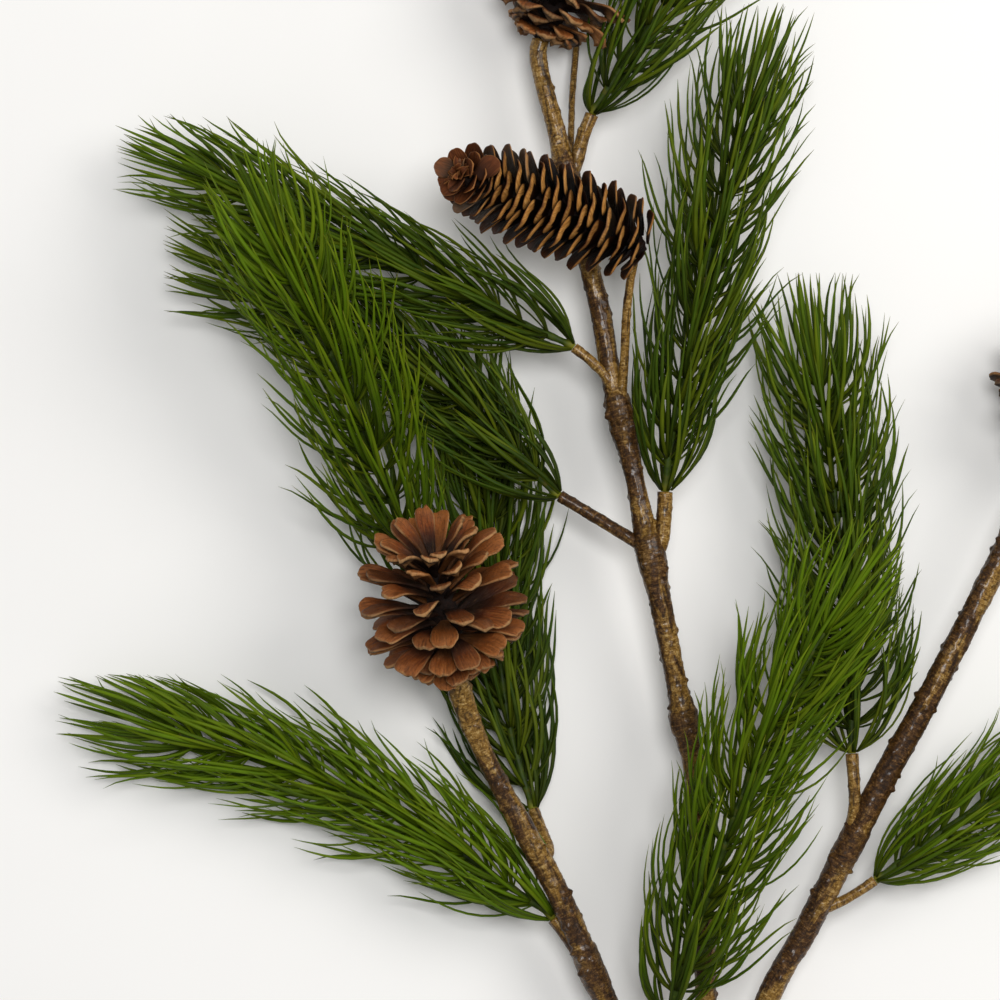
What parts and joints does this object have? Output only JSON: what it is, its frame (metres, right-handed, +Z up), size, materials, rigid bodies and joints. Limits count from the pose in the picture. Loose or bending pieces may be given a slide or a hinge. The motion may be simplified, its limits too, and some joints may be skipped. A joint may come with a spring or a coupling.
{
  "type": "pine cone branch",
  "caption": "Cut pine branch lying on a surface: forked bark-covered stems with green needle sprays, open round cones and a long slender cone.",
  "frame": {"origin": "on the surface that the branch lies on, in the middle of the flat spot under the main stem's cut end", "axes": "+X to the branch's right seen from above, +Y from the cut end to the top, +Z up from the surface"},
  "size_m": [0.6201, 0.8265, 0.1209],
  "materials": {
    "bark": "glossy knobbly tan and dark brown bark",
    "needles": "satin green, yellower at the tips",
    "round_cone": "dry chestnut scales with tan rims",
    "long_cone": "dry orange-brown scales, darker between"
  },
  "bodies": {
    "root": {"stems": "bark", "spray_1": "needles", "spray_2": "needles", "spray_3": "needles", "spray_4": "needles", "spray_5": "needles", "spray_6": "needles", "spray_7": "needles", "spray_8": "needles", "spray_9": "needles", "spray_10": "needles", "cone_left": "round_cone", "cone_top": "round_cone", "cone_right": "round_cone", "cone_long": "long_cone"}
  },
  "joints": []
}
